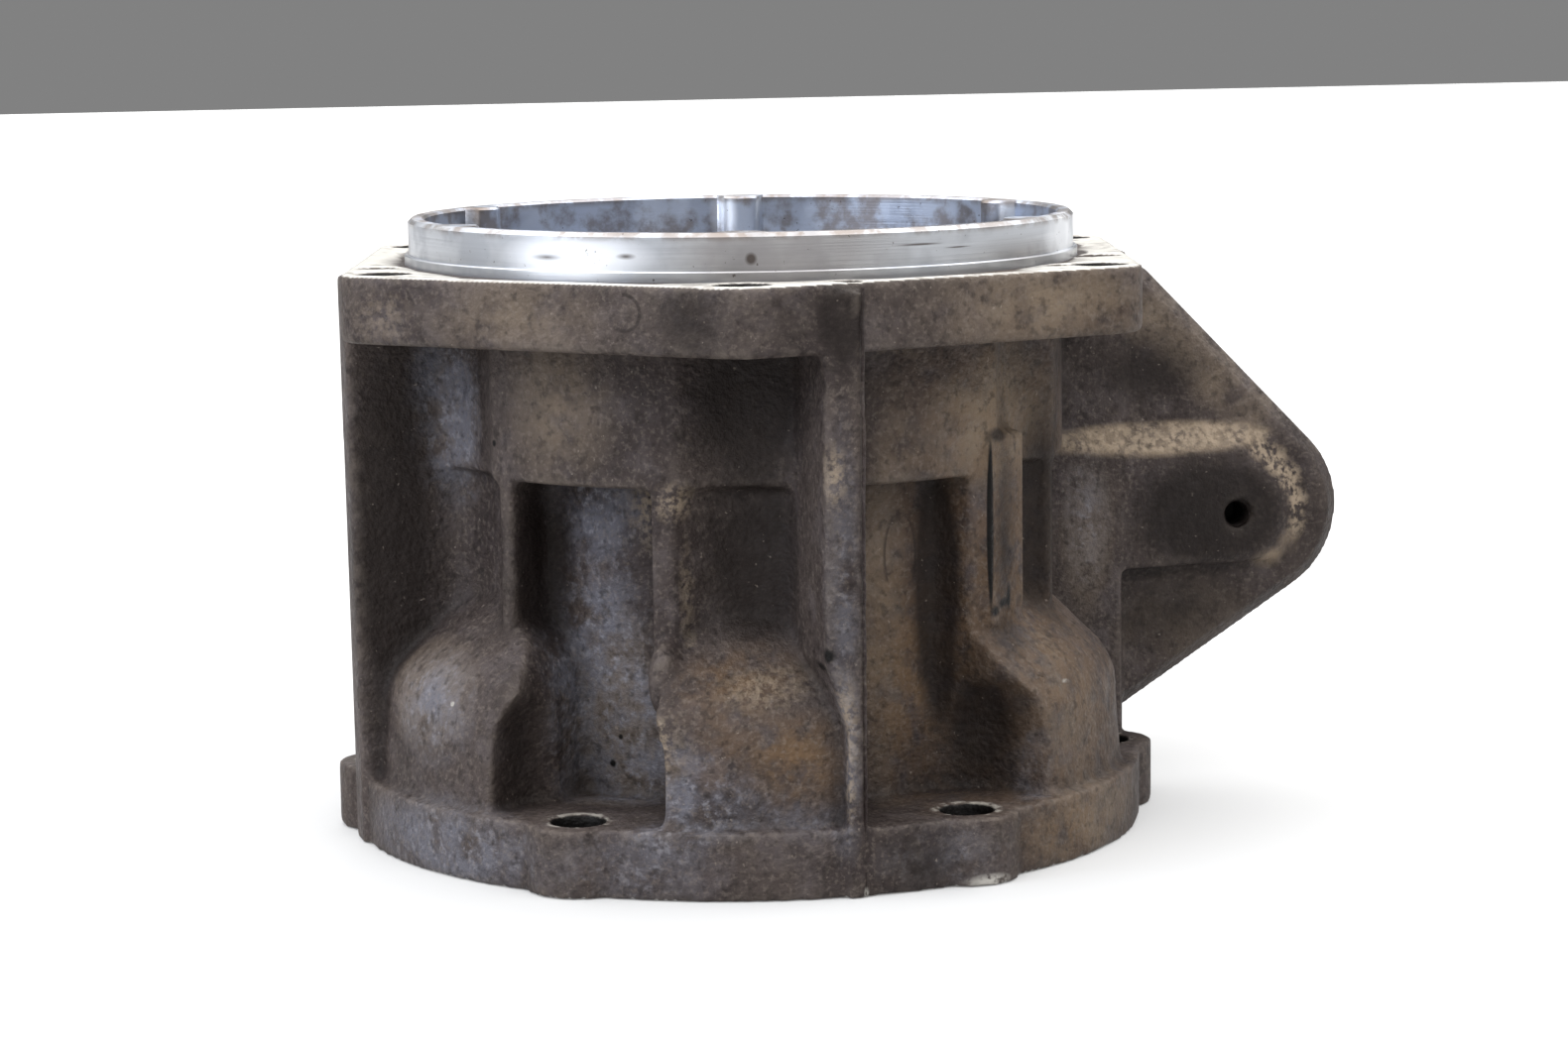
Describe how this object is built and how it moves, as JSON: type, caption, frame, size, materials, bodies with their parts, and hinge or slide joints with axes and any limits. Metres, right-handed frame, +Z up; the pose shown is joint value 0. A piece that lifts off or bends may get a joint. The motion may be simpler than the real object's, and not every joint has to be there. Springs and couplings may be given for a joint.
{
  "type": "transmission extension housing",
  "caption": "Open-ended die-cast housing: ribbed bell between two bolt flanges, spigot ring at the top, side bracket with a tapped hole",
  "frame": {"origin": "bore axis on the machined face of the base flange", "axes": "+Z up the bore towards the pilot ring, +X along the side bracket, +Y away from the front parting rib"},
  "size_m": [0.259, 0.203, 0.1477],
  "materials": {
    "cast_aluminium": "as-cast, dull with dust and old grime; end faces and pilot ring machined bright"
  },
  "bodies": {
    "root": {"housing": "cast_aluminium"}
  },
  "joints": []
}
